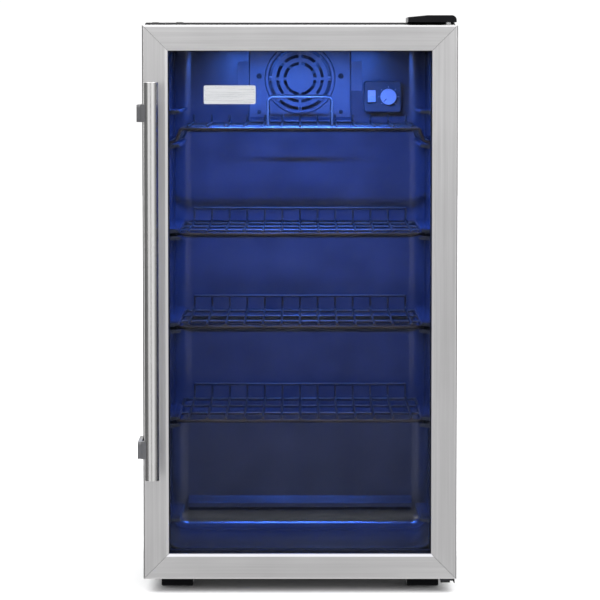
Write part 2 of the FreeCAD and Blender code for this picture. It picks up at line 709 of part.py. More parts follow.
def cord_gland():
    """Snap-in bush with an open bore in the rear lip of the base pan."""
    y1 = CABINET_BACK - SHEET
    at = V(GLAND_AT.x, y1, GLAND_AT.z)
    sleeve = rod(at.add(V(0, -9, 0)), at.add(V(0, 2.4, 0)), 6.9)
    flange = rod(at, at.add(V(0, 2.4, 0)), 9.5)
    inside = rod(at.add(V(0, -5, 0)), at.add(V(0, -1.4, 0)), 8.4)
    return fuse(sleeve, flange, inside).cut(rod(at.add(V(0, -20, 0)), at.add(V(0, 20, 0)), 4.0))


# ---------------------------------------------------------------- feet and hinges
def feet(y0, y1):
    pair = []
    for side in (-1, 1):
        x0, x1 = sorted((side * 158.0, side * 204.5))
        foot = box(x0, x1, y0, y1, 0, CABINET_BOTTOM)
        foot = foot.makeChamfer(1.5, [e for e in foot.Edges if e.BoundBox.ZMax < 0.1])
        groove = box(x0 - 1, x1 + 1, y0 - 1, y0 + 0.8, 9, 11)
        pair.append(foot.cut(groove))
    return pair


def top_hinge_bracket():
    z = CABINET_TOP
    plate = prism([V(164, 62, z), V(222, 62, z), V(222, 108, z), V(164, 108, z)], V(0, 0, 3))
    arm = rounded_box(203, 224, 11, 70, z, z + 3, 5, Z)
    bracket = fuse(plate, arm)
    return bracket.cut(rod(V(HINGE_X, HINGE_Y, z - 1), V(HINGE_X, HINGE_Y, z + 5), PIN_R))


def bottom_hinge_bracket():
    """Cranked plate under the cabinet that carries the lower pin under the door."""
    low = DOOR_BOTTOM - 3.5
    side = CABINET_BOTTOM
    x = 205.2
    outline = [V(x, 8, low), V(x, 8, low + 2.5), V(x, 58, low + 2.5), V(x, 58, side),
               V(x, 108, side), V(x, 108, side - 2.5), V(x, 60.5, side - 2.5), V(x, 60.5, low)]
    plate = prism(outline, V(20.3, 0, 0))
    boss = box(x, 219, 12, 40, low - 3.5, low + 0.1)
    boss = boss.makeChamfer(0.8, [e for e in boss.Edges if e.BoundBox.ZMax < low - 3])
    hook = prism([V(222.7, 9, low + 0.1), V(224.8, 9, low - 3.4), V(226.0, 9, low - 3.4),
                  V(225.5, 9, low + 0.1)], V(0, 16, 0))
    bracket = fuse(plate, boss, hook)
    return bracket.cut(rod(V(HINGE_X, HINGE_Y, low - 5), V(HINGE_X, HINGE_Y, low + 9), PIN_R))


def hinge_pins():
    top = rod(V(HINGE_X, HINGE_Y, DOOR_TOP - 18), V(HINGE_X, HINGE_Y, CABINET_TOP + 4.5), PIN_R)
    low = DOOR_BOTTOM - 3.5
    bottom = rod(V(HINGE_X, HINGE_Y, low - 3.2), V(HINGE_X, HINGE_Y, DOOR_BOTTOM + 18), PIN_R)
    return top, bottom


def hinge_bushes():
    """Flanged plastic bushes in the ends of the hinge-side stile."""
    bushes = []
    for z, way in ((DOOR_TOP, 1), (DOOR_BOTTOM, -1)):
        at = V(HINGE_X, HINGE_Y, z)
        sleeve = rod(at.sub(Z * (22 * way)), at, 7.0)
        flange = rod(at, at.add(Z * (0.7 * way)), 9.0)
        bore = rod(at.sub(Z * (19 * way)), at.add(Z * (3 * way)), PIN_R + RUN)
        bushes.append(fuse(sleeve, flange).cut(bore))
    return bushes


def hinge_screws():
    screws = []
    for x, y in ((176, 74), (176, 98), (212, 90)):
        screws.append(pan_head(V(x, y, CABINET_TOP + 3), Z.negative(), 4.0, 2.4, 7.0))
    for x, y in ((211, 68), (211, 100), (219.5, 84)):
        screws.append(pan_head(V(x, y, CABINET_BOTTOM - 2.5), Z, 4.0, 2.4, 7.0))
    return screws


def hinge_cover():
    """Cap over the top hinge: sloping at one end, rounded at the other."""
    z = CABINET_TOP

    def outline(inset, y):
        low = z if inset == 0 else z - 2
        left = 156.0 + inset
        right = 226.0 - inset
        top = z + 10 - inset
        corner = 7.0 - inset
        start = V(left, y, low)
        shoulder = V(left, y, z + 7.2 - inset)
        crest = V(184, y, top)
        arc_start = V(right - corner, y, top)
        arc_end = V(right, y, top - corner)
        arc_middle = V(right - corner * 0.293, y, top - corner * 0.293)
        edges = [Part.LineSegment(start, shoulder).toShape(),
                 Part.LineSegment(shoulder, crest).toShape(),
                 Part.LineSegment(crest, arc_start).toShape(),
                 Part.Arc(arc_start, arc_middle, arc_end).toShape(),
                 Part.LineSegment(arc_end, V(right, y, low)).toShape(),
                 Part.LineSegment(V(right, y, low), start).toShape()]
        return Part.Face(Part.Wire(edges))

    outer = outline(0, 6).extrude(V(0, 114, 0))
    inner = outline(1.6, 7.6).extrude(V(0, 110.8, 0))
    return outer.cut(inner)


def hole_plugs():
    """Plugs in the screw holes kept for hanging the door on the other side."""
    plugs = []
    for x, y in ((-176, 74), (-176, 98), (-212, 90)):
        at = V(x, y, CABINET_TOP)
        top = at.add(Z * 0.8)
        cap = rod(at, top, 5.0)
        plugs.append(cap.makeFillet(0.5, rims(cap, top)))
    return plugs


# ---------------------------------------------------------------- door
def frame_member(start, end, inward):
    """One folded steel member of the door frame, mitred at both ends."""
    skin = STEEL_SKIN
    round_r = 3.0
    flat = FRAME_W - BEVEL
    slope = BEVEL_DEPTH / BEVEL
    offset = skin * math.hypot(1, slope)
    end_v = GLASS_FRONT - 0.1

    def at(u, v):
        return start.add(inward * u).add(Y * v)

    k = 1 - math.sqrt(0.5)
    inner_r = round_r - skin
    inner_foot = at(FRAME_W - skin, slope * (BEVEL - skin) + offset)
    inner_bend = at(flat - (offset - skin) / slope, skin)
    edges = [Part.LineSegment(at(0, DOOR_T - 2), at(0, round_r)).toShape(),
             Part.Arc(at(0, round_r), at(round_r * k, round_r * k), at(round_r, 0)).toShape(),
             Part.LineSegment(at(round_r, 0), at(flat, 0)).toShape(),
             Part.LineSegment(at(flat, 0), at(FRAME_W, BEVEL_DEPTH)).toShape(),
             Part.LineSegment(at(FRAME_W, BEVEL_DEPTH), at(FRAME_W, end_v)).toShape(),
             Part.LineSegment(at(FRAME_W, end_v), at(FRAME_W - skin, end_v)).toShape(),
             Part.LineSegment(at(FRAME_W - skin, end_v), inner_foot).toShape(),
             Part.LineSegment(inner_foot, inner_bend).toShape(),
             Part.LineSegment(inner_bend, at(round_r, skin)).toShape(),
             Part.Arc(at(round_r, skin), at(skin + inner_r * k, skin + inner_r * k),
                      at(skin, round_r)).toShape(),
             Part.LineSegment(at(skin, round_r), at(skin, DOOR_T - 2)).toShape(),
             Part.LineSegment(at(skin, DOOR_T - 2), at(0, DOOR_T - 2)).toShape()]
    bar = Part.Face(Part.Wire(edges)).extrude(end.sub(start))
    along = end.sub(start).normalize()
    reach = 60.0
    gap = MITRE_GAP
    low = start.sub(Y)
    high = end.sub(Y)
    corners = [low.add(along * gap), high.sub(along * gap),
               high.sub(along * (reach + gap)).add(inward * reach),
               low.add(along * (reach + gap)).add(inward * reach)]
    return bar.common(prism(corners, Y * (DOOR_T + 5)))


def bush_hole(z):
    return rod(V(HINGE_X, HINGE_Y, z - 23), V(HINGE_X, HINGE_Y, z + 23), 7.0)


def door_ring(outer, inner, y0, y1):
    """A frame-shaped slab between two insets from the door's edge."""
    slab = box(-DOOR_HALF + outer, DOOR_HALF - outer, y0, y1, DOOR_BOTTOM + outer, DOOR_TOP - outer)
    hole = box(-DOOR_HALF + inner, DOOR_HALF - inner, y0 - 1, y1 + 1,
               DOOR_BOTTOM + inner, DOOR_TOP - inner)
    return slab.cut(hole)


def door_inner_frame():
    """Black moulded frame behind the steel skin that holds the glass unit."""
    ring = door_ring(1.6, FRAME_W + 1.0, 8.0, DOOR_T)
    unit_depth = GLASS_FRONT + 2 * GLASS_T + SPACER_T + 0.2
    half_x = DOOR_HALF - GLASS_INSET + 0.4
    seat = box(-half_x, half_x, 0, unit_depth, DOOR_BOTTOM + GLASS_INSET - 0.4,
               DOOR_TOP - GLASS_INSET + 0.4)
    ring = ring.cut(seat)
    groove = door_ring(5.0, 12.0, DOOR_T - 3, DOOR_T + 1)
    ring = ring.cut(groove)
    return ring.cut(bush_hole(DOOR_TOP)).cut(bush_hole(DOOR_BOTTOM))


def glass_pane(front):
    inset = GLASS_INSET
    return box(-DOOR_HALF + inset, DOOR_HALF - inset, front, front + GLASS_T,
               DOOR_BOTTOM + inset, DOOR_TOP - inset)


def door_gasket():
    """Magnetic seal: base, bellows and magnet pocket."""
    base = door_ring(15.0, 35.0, DOOR_T, DOOR_T + 2.2)
    neck = door_ring(18.5, 29.0, DOOR_T + 2.2, DOOR_T + 5.4)
    head = door_ring(15.0, 31.0, DOOR_T + 5.4, CABINET_FRONT - CLEAR)
    return fuse(base, neck, head)


def handle_bar():
    start = V(HANDLE_X, HANDLE_Y, HANDLE_BOTTOM + 2)
    end = V(HANDLE_X, HANDLE_Y, HANDLE_TOP - 2)
    return tube(start, end, HANDLE_R, HANDLE_R - 1.4)


def handle_end_caps():
    caps = []
    for z, way in ((HANDLE_BOTTOM, 1), (HANDLE_TOP, -1)):
        at = V(HANDLE_X, HANDLE_Y, z)
        disc = rod(at, at.add(Z * (2 * way)), HANDLE_R)
        disc = disc.makeFillet(0.8, rims(disc, at))
        plug = rod(at.add(Z * (1.5 * way)), at.add(Z * (10 * way)), HANDLE_R - 1.5)
        caps.append(fuse(disc, plug))
    return caps


def bracket_heights():
    return (HANDLE_MID - BRACKET_SPAN, HANDLE_MID + BRACKET_SPAN)


def handle_brackets():
    """Cranked arms from the door's left edge forward to the bar."""
    bar = rod(V(HANDLE_X, HANDLE_Y, 0), V(HANDLE_X, HANDLE_Y, 900), HANDLE_R)
    outside = -DOOR_HALF - BRACKET_PROUD + SCREW_HEAD
    arms = []
    for z in bracket_heights():
        plate = rounded_box(outside, -DOOR_HALF, HANDLE_Y - 8, 32, z - 12.5, z + 12.5, 4, X)
        saddle = box(-DOOR_HALF - 0.5, HANDLE_X - 2, HANDLE_Y - 7, HANDLE_Y + 7,
                     z - 12.5, z + 12.5)
        arms.append(fuse(plate, saddle).cut(bar))
    return arms


def handle_screws():
    screws = []
    face = -DOOR_HALF - BRACKET_PROUD + SCREW_HEAD
    for z in bracket_heights():
        for y in (12.0, 24.0):
            screws.append(pan_head(V(face, y, z), X, 3.4, SCREW_HEAD, 5.0))
    return screws


def name_badge():
    """Blank plate with a raised border, on the outer glass."""
    face = GLASS_FRONT - 2.0
    plate = rounded_box(-139, -64, face, GLASS_FRONT, 712, 739, 2.5, Y)
    return plate.cut(rounded_box(-137.4, -65.6, face - 1, face + 0.5, 713.6, 737.4, 1.6, Y))


def write_cabinet():
    left = side_panel_left()
    save("side_panel_left", left)
    save("side_panel_right", mirrored(left))
    save("top_panel", top_panel())
    save("back_panel", back_panel())
    save("base_pan", base_pan())
    save("front_frame", front_frame())
    save("foam_insulation", foam_insulation())
    save("inner_liner", inner_liner())
    save("machine_bay_divider", machine_bay_divider())
    save("condenser_coil", *condenser_coil())
    rails = shelf_rails()
    save("shelf_rails_right", *rails)
    save("shelf_rails_left", *[mirrored(rail) for rail in rails])
    save("fan_cover", fan_cover())
    save("fan_grille", fan_grille())
    save("fan_motor", fan_motor())
    save("cover_screws", *cover_screws())
    save("evaporator_plate", evaporator_plate())
    save("led_housing", led_housing())
    save("led_lens", led_lens())
    save("led_board", led_board())
    save("control_box", control_box())
    save("thermostat_body", thermostat_body())


def write_machine_bay():
    seam = rod(V(COMPRESSOR_X, COMPRESSOR_Y, 96), V(COMPRESSOR_X, COMPRESSOR_Y, 102),
               COMPRESSOR_R + 2.5)
    can = fuse(compressor_can(0), seam)
    save("compressor", compressor())
    save("compressor_grommets", *compressor_grommets())
    save("compressor_bolts", *compressor_bolts())
    save("start_relay_cover", start_relay_cover(can))
    save("refrigerant_tubes", *refrigerant_tubes(can))
    save("filter_drier", filter_drier())
    save("drip_tray", drip_tray().cut(can))
    save("cord_gland", cord_gland())


def write_hinges_and_feet():
    save("front_feet", *feet(72.0, 112.0))
    save("rear_feet", *feet(428.0, 468.0))
    save("top_hinge_bracket", top_hinge_bracket())
    save("bottom_hinge_bracket", bottom_hinge_bracket())
    save("hinge_pins", *hinge_pins())
    save("hinge_screws", *hinge_screws())
    save("hinge_cover", hinge_cover())
    save("hole_plugs", *hole_plugs())


def write_door():
    low_left = V(-DOOR_HALF, 0, DOOR_BOTTOM)
    low_right = V(DOOR_HALF, 0, DOOR_BOTTOM)
    top_left = V(-DOOR_HALF, 0, DOOR_TOP)
    top_right = V(DOOR_HALF, 0, DOOR_TOP)
    save("door_stile_left", frame_member(low_left, top_left, X))
    save("door_stile_right", frame_member(low_right, top_right, X.negative()))
    save("door_rail_top", frame_member(top_left, top_right, Z.negative()).cut(bush_hole(DOOR_TOP)))
    save("door_rail_bottom", frame_member(low_left, low_right, Z).cut(bush_hole(DOOR_BOTTOM)))
    save("door_inner_frame", door_inner_frame())
    save("outer_glass", glass_pane(GLASS_FRONT))
    save("inner_glass", glass_pane(GLASS_FRONT + GLASS_T + SPACER_T))
    save("glass_spacer", door_ring(GLASS_INSET + 1, FRAME_W, GLASS_FRONT + GLASS_T,
                                   GLASS_FRONT + GLASS_T + SPACER_T))
    save("door_gasket", door_gasket())
    save("handle_bar", handle_bar())
    save("handle_end_caps", *handle_end_caps())
    save("handle_brackets", *handle_brackets())
    save("handle_screws", *handle_screws())
    save("name_badge", name_badge())
    save("hinge_bushes", *hinge_bushes())


def write_moving_pieces():
    save("fan_blade", fan_blade())
    save("thermostat_dial", thermostat_dial())
    save("light_switch", light_switch())
    save("wire_shelf_1", top_shelf(SHELF_DECKS[0]))
    for number, deck in enumerate(SHELF_DECKS[1:], start=2):
        save("wire_shelf_" + str(number), flat_shelf(deck))


os.makedirs("parts", exist_ok=True)
write_cabinet()
write_machine_bay()
write_hinges_and_feet()
write_door()
write_moving_pieces()
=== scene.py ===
import json
import math

import bmesh
import bpy
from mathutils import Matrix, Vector


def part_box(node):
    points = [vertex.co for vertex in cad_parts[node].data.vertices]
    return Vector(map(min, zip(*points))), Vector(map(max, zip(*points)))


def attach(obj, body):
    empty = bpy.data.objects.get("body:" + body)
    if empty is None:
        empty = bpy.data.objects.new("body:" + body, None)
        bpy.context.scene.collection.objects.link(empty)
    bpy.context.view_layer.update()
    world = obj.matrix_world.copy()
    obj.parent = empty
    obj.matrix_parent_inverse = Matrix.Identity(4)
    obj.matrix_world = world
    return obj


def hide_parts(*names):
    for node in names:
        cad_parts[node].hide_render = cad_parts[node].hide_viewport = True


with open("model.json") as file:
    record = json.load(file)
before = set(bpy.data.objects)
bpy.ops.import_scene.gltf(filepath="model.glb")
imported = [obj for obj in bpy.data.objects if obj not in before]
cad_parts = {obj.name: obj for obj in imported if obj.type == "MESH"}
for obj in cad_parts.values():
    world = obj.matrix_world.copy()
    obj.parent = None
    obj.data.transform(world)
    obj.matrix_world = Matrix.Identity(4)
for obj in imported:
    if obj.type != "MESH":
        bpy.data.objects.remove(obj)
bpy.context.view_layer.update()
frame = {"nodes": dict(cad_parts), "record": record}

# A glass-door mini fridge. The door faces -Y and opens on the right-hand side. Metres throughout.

DOOR_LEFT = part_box("door_stile_left")
DOOR_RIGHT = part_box("door_stile_right")
DOOR_FRONT = DOOR_LEFT[0].y
DOOR_CENTRE_X = (DOOR_LEFT[0].x + DOOR_RIGHT[1].x) / 2

CAMERA_DISTANCE = 4.9
CAMERA_HEIGHT = 0.78
CAMERA_PITCH = math.radians(-4.1)
CAMERA_LENS = 203.5
SENSOR_WIDTH = 36.0

LED_BLUE = (0.055, 0.19, 1.0)
LED_POWER = 7.6
LED_GLOW = 6.0
LED_SPREAD = math.radians(130)
LED_STRIP_WIDTH = 0.014
LED_STANDOFF = 0.006             # how far under the lens the light sits
LED_DIRECTION = (0, 0.5, -1)     # down, and toward the back wall
STUDIO_STRENGTH = 1.45
BACKDROP_STRENGTH = 1.05         # what the camera sees behind the fridge
STUDIO_BY_HEIGHT = ((0.0, 0.7), (0.4, 0.6), (0.5, 0.85), (0.62, 0.95), (0.85, 1.3), (1.0, 1.6))
STUDIO_BY_SIDE = ((0.0, 0.15), (0.12, 0.18), (0.16, 1.1), (0.24, 0.95), (0.5, 0.92), (0.84, 1.0),
                  (0.95, 0.4), (1.0, 0.15))
VIEWER_GAP = ((0.0, 1.0), (0.9905, 1.0), (0.9945, 0.08), (1.0, 0.08))
VIEWER_DIRECTION = (0.0, -1.0, -0.073)
FLOOR_REACH = 14.0
SOFTBOX_AIM = (0, 0, 0.5)
# name, place, size and power of each soft light
SOFTBOXES = (
    ("key_softbox", (-2.2, -2.6, 2.8), (1.8, 1.8), 60.0),
    ("fill_softbox", (2.6, -2.0, 2.0), (1.6, 1.6), 30.0),
    ("rear_softbox", (0.5, 3.0, 2.6), (2.0, 1.4), 40.0),
)

STEEL = (0.595, 0.59, 0.595)
CRISP_EDGE = math.radians(40)    # edges sharper than this stay sharp under smooth shading

GASKET_WIDTH = 0.020
# The seal's outline, as shares of its width and of its depth: base, bellows folds, magnet pocket, lip.
GASKET_OUTLINE = (
    (0.02, 0.02), (0.25, 0.0), (0.75, 0.0), (0.98, 0.02), (0.98, 0.16), (0.72, 0.2),
    (0.6, 0.32), (0.74, 0.44), (0.9, 0.5), (0.86, 0.62), (0.8, 0.72), (0.8, 0.9), (0.72, 0.98),
    (0.4, 0.995), (0.1, 0.98), (0.01, 0.9), (0.01, 0.7), (0.08, 0.6), (0.3, 0.55),
    (0.38, 0.44), (0.22, 0.36), (0.2, 0.26), (0.1, 0.2), (0.02, 0.14),
)

DIAL_TICKS = 7
DIAL_START = math.radians(225)
DIAL_SWEEP = math.radians(270)
PRINT_HEIGHT = 0.0001            # how far printed marks stand off their face
TICK_GAP = 0.0015
TICK_LENGTH = 0.0016
TICK_GROWTH = 0.0003             # each tick is longer than the one before by this
TICK_WIDTH = 0.0007
POINTER_WIDTH = 0.0011
POINTER_REACH = (0.35, 0.84)     # shares of the knob's radius

FAN_BLADES = 7
BLADE_START = 0.92               # of the hub's radius, so that a blade starts inside the hub
BLADE_WRAP = (0.62, 0.1)         # radians across a blade at its root, and what the tip adds
BLADE_SWEEP = 0.35               # radians by which the tip trails the root
BLADE_CAMBER = 0.16              # of the rotor's half-depth
BLADE_PITCH = (1.75, 0.55)       # of the half-depth at the root, and what the tip loses
BLADE_EDGE = 0.04                # keeps the edges of a blade from closing to nothing
FAN_ROOT = 0.36                  # hub radius as a share of the tip radius
BLADE_STATIONS = 7               # rows of points from root to tip
BLADE_CHORDS = 7                 # points across a blade
BLADE_THICKNESS = 0.0009
HUB_SIDES = 40
# Hub outline, as shares of its radius and of the rotor's half-depth, from the dome to the back.
HUB_OUTLINE = ((0.55, -0.88), (0.86, -0.74), (1.0, -0.45), (1.0, 0.9), (0.6, 0.95))

# The mix node has several sockets of each name, so these go by their index.
MIX_FLOAT_A, MIX_FLOAT_B, MIX_FLOAT_RESULT = 2, 3, 0
MIX_COLOUR_A, MIX_COLOUR_B, MIX_COLOUR_RESULT = 6, 7, 2


# ---------------------------------------------------------------- materials

class Finish:
    """A material with one Principled shader, and the textures that feed it."""

    def __init__(self, name, **sockets):
        self.material = bpy.data.materials.new(name)
        self.material.use_nodes = True
        self.tree = self.material.node_tree
        self.shader = self.tree.nodes["Principled BSDF"]
        self.place = self.add("ShaderNodeTexCoord").outputs["Object"]
        for socket, value in sockets.items():
            self.shader.inputs[socket.replace("_", " ")].default_value = value

    def add(self, kind, **settings):
        node = self.tree.nodes.new(kind)
        for name, value in settings.items():
            setattr(node, name, value)
        return node

    def join(self, source, target):
        self.tree.links.new(source, target)

    def stretched(self, factors):
        """Object coordinates multiplied by a factor on each axis."""
        node = self.add("ShaderNodeMapping")
        node.inputs["Scale"].default_value = factors
        self.join(self.place, node.inputs["Vector"])
        return node.outputs["Vector"]

    def noise(self, scale, stretch=None, detail=3.0, distortion=0.0):
        node = self.add("ShaderNodeTexNoise")
        node.inputs["Scale"].default_value = scale
        node.inputs["Detail"].default_value = detail
        node.inputs["Distortion"].default_value = distortion
        place = self.stretched(stretch) if stretch else self.place
        self.join(place, node.inputs["Vector"])
        return node.outputs["Fac"]

    def cells(self, scale, output="Distance", feature="F1"):
        node = self.add("ShaderNodeTexVoronoi", feature=feature)
        node.inputs["Scale"].default_value = scale
        self.join(self.place, node.inputs["Vector"])
        return node.outputs[output]

    def spread(self, value, low, high, start=0.3, stop=0.7):
        """value, from start to stop, mapped to low to high."""
        node = self.add("ShaderNodeMapRange")
        for name, number in zip(("From Min", "From Max", "To Min", "To Max"), (start, stop, low, high)):
            node.inputs[name].default_value = number
        self.join(value, node.inputs["Value"])
        return node.outputs["Result"]

    def average(self, first, second, share=0.5):
        """Two values averaged, with share of the second."""
        node = self.add("ShaderNodeMix", data_type="FLOAT")
        node.inputs["Factor"].default_value = share
        self.join(first, node.inputs[MIX_FLOAT_A])
        self.join(second, node.inputs[MIX_FLOAT_B])
        return node.outputs[MIX_FLOAT_RESULT]

    def colour(self, value, dark, light, start=0.3, stop=0.7):
        node = self.add("ShaderNodeValToRGB")
        for element, position, rgb in zip(node.color_ramp.elements, (start, stop), (dark, light)):
            element.position = position
            element.color = (*rgb, 1)
        self.join(value, node.inputs["Fac"])
        self.join(node.outputs["Color"], self.shader.inputs["Base Color"])
        return node.outputs["Color"]

    def rough(self, value, low, high, start=0.3, stop=0.7):
        self.join(self.spread(value, low, high, start, stop), self.shader.inputs["Roughness"])

    def bump(self, height, depth, strength=1.0):
        """A relief of depth metres. A second call adds to the first."""
        node = self.add("ShaderNodeBump")
        node.inputs["Strength"].default_value = strength
        node.inputs["Distance"].default_value = depth
        self.join(height, node.inputs["Height"])
        normal = self.shader.inputs["Normal"]
        if normal.is_linked:
            self.join(normal.links[0].from_socket, node.inputs["Normal"])
        self.join(node.outputs["Normal"], normal)


def shade(rgb, factor):
    return tuple(channel * factor for channel in rgb)


def brushed(name, grain, rgb, low, high, across=2600.0, along=9.0):
    """Brushed stainless steel. grain is the axis that the fine lines run along."""
    finish = Finish(name, Metallic=1.0, Anisotropic=0.45)
    stretch = [across] * 3
    stretch["xyz".index(grain)] = along
    lines = finish.noise(1.0, stretch, detail=4.0)
    stretch = [across / 9] * 3
    stretch["xyz".index(grain)] = along / 4
    bands = finish.noise(1.0, stretch, detail=2.0)
    smudges = finish.noise(7.0, detail=4.0, distortion=0.6)
    grain_value = finish.average(lines, bands, 0.45)
    finish.colour(grain_value, shade(rgb, 0.88), shade(rgb, 1.08))
    finish.rough(finish.average(grain_value, smudges, 0.5), low, high)
    finish.bump(lines, 0.00004, 0.35)
    tangent = finish.add("ShaderNodeTangent", direction_type="RADIAL", axis="Z")
    finish.join(tangent.outputs["Tangent"], finish.shader.inputs["Tangent"])
    if grain == "x":
        finish.shader.inputs["Anisotropic Rotation"].default_value = 0.25
    return finish


def moulded(name, rgb, low, high, grain=1500.0, depth=0.00008, variation=0.18, gloss=0.3):
    """Moulded plastic: a fine spark-eroded grain, faint colour drift and a few dull patches."""
    finish = Finish(name, Specular_IOR_Level=gloss)
    drift = finish.noise(18.0, detail=4.0)
    pits = finish.cells(grain)
    finish.colour(drift, shade(rgb, 1 - variation), shade(rgb, 1 + variation))
    finish.rough(finish.average(drift, pits, 0.4), low, high)
    finish.bump(pits, depth, 0.5)
    return finish


def painted(name, rgb, low, high, grain=900.0, depth=0.00012, gloss=0.3, metallic=0.0):
    """Powder coat on sheet steel: orange peel and fine speckle."""
    finish = Finish(name, Specular_IOR_Level=gloss, Metallic=metallic)
    peel = finish.noise(grain, detail=2.0)
    speckle = finish.cells(grain * 1.7)
    dust = finish.noise(5.0, detail=6.0, distortion=0.4)
    finish.colour(finish.average(dust, speckle, 0.3), shade(rgb, 0.8), shade(rgb, 1.35))
    finish.rough(finish.average(dust, peel, 0.5), low, high)
    finish.bump(peel, depth, 0.6)
    finish.bump(finish.noise(60.0, detail=1.0), 0.0002, 0.15)
    return finish


def plated(name, rgb, low, high, grain=140.0):
    """Zinc-plated steel: crystal spangle in the brightness and the gloss."""
    finish = Finish(name, Metallic=1.0)
    spangle = finish.cells(grain, output="Color")
    wear = finish.noise(45.0, detail=5.0)
    mixed = finish.average(spangle, wear, 0.5)
    finish.colour(mixed, shade(rgb, 0.78), shade(rgb, 1.12))
    finish.rough(mixed, low, high)
    finish.bump(wear, 0.00005, 0.3)
    return finish


def drawn_metal(name, rgb, patina, low, high):
    """Drawn tube or rolled plate, with a stain that comes and goes."""
    finish = Finish(name, Metallic=1.0)
    stain = finish.noise(32.0, detail=6.0, distortion=0.8)
    lines = finish.noise(1.0, (400.0, 400.0, 60.0), detail=3.0)
    finish.colour(stain, patina, rgb, 0.36, 0.56)
    finish.rough(finish.average(stain, lines, 0.4), high, low)
    finish.bump(lines, 0.00005, 0.3)
    return finish


def rubber(name, rgb, low=0.55, high=0.75):
    """Soft rubber: matt, faintly bloomed, with a slow surface waviness."""
    finish = Finish(name, Specular_IOR_Level=0.35, Sheen_Weight=0.15, Sheen_Roughness=0.5)
    bloom = finish.noise(26.0, detail=5.0)
    skin = finish.noise(900.0, detail=2.0)
    finish.colour(bloom, shade(rgb, 0.85), shade(rgb, 1.5))
    finish.rough(finish.average(bloom, skin, 0.35), low, high)
    finish.bump(skin, 0.0001, 0.35)
    return finish


def foam(name):
    """Poured polyurethane foam: closed cells and a yellowed skin."""
    finish = Finish(name)
    cells = finish.cells(420.0)
    age = finish.noise(14.0, detail=5.0)
    finish.colour(finish.average(cells, age, 0.6), (0.62, 0.5, 0.3), (0.9, 0.83, 0.64))
    finish.rough(age, 0.75, 0.9)
    finish.bump(cells, 0.0008, 0.8)
    return finish


def glass(name):
    """Tempered glass with a faint smoke tint and the slow roller wave of tempering."""
    finish = Finish(name, Alpha=0.08, IOR=1.45, Specular_IOR_Level=0.35)
    film = finish.noise(9.0, detail=3.0)
    finish.colour(film, (0.006, 0.007, 0.012), (0.012, 0.015, 0.024))
    finish.rough(film, 0.015, 0.06)
    finish.bump(finish.noise(1.0, (1.0, 1.0, 14.0), detail=0.0), 0.0002, 0.02)
    return finish


def diffuser(name):
    """Frosted light cover, lit from behind."""
    finish = Finish(name, Emission_Strength=LED_GLOW)
    frost = finish.noise(700.0, detail=3.0)
    lamps = finish.noise(1.0, (60.0, 1.0, 1.0), detail=0.0)
    glow = finish.colour(finish.average(lamps, frost, 0.3), shade(LED_BLUE, 0.75), shade(LED_BLUE, 1.1))
    finish.join(glow, finish.shader.inputs["Emission Color"])
    finish.rough(frost, 0.35, 0.5)
    finish.bump(frost, 0.0001, 0.4)
    return finish


def circuit_board(name):
    """White solder mask with faint tracks."""
    finish = Finish(name)
    tracks = finish.cells(260.0, feature="DISTANCE_TO_EDGE")
    finish.colour(tracks, (0.55, 0.6, 0.66), (0.84, 0.87, 0.9), 0.02, 0.1)
    finish.rough(finish.noise(200.0), 0.3, 0.5)
    finish.bump(tracks, 0.00005, 0.4)
    return finish


def coated_wire(name):
    """Dark bronze plastic-dipped wire, slightly uneven where the coat ran."""
    finish = Finish(name, Specular_IOR_Level=0.4)
    runs = finish.noise(160.0, detail=3.0)
    tone = finish.noise(22.0, detail=3.0)
    finish.colour(tone, (0.014, 0.011, 0.009), (0.045, 0.034, 0.026))
    finish.rough(finish.average(runs, tone, 0.4), 0.3, 0.48)
    finish.bump(runs, 0.0002, 0.5)
    return finish


def badge_plate(name):
    """Satin aluminium plate with a fine horizontal brush."""
    finish = Finish(name, Metallic=1.0)
    lines = finish.noise(1.0, (20.0, 3000.0, 3000.0), detail=3.0)
    finish.colour(lines, (0.8, 0.82, 0.85), (0.88, 0.89, 0.92))
    finish.rough(lines, 0.24, 0.36)
    finish.bump(lines, 0.00004, 0.3)
    return finish


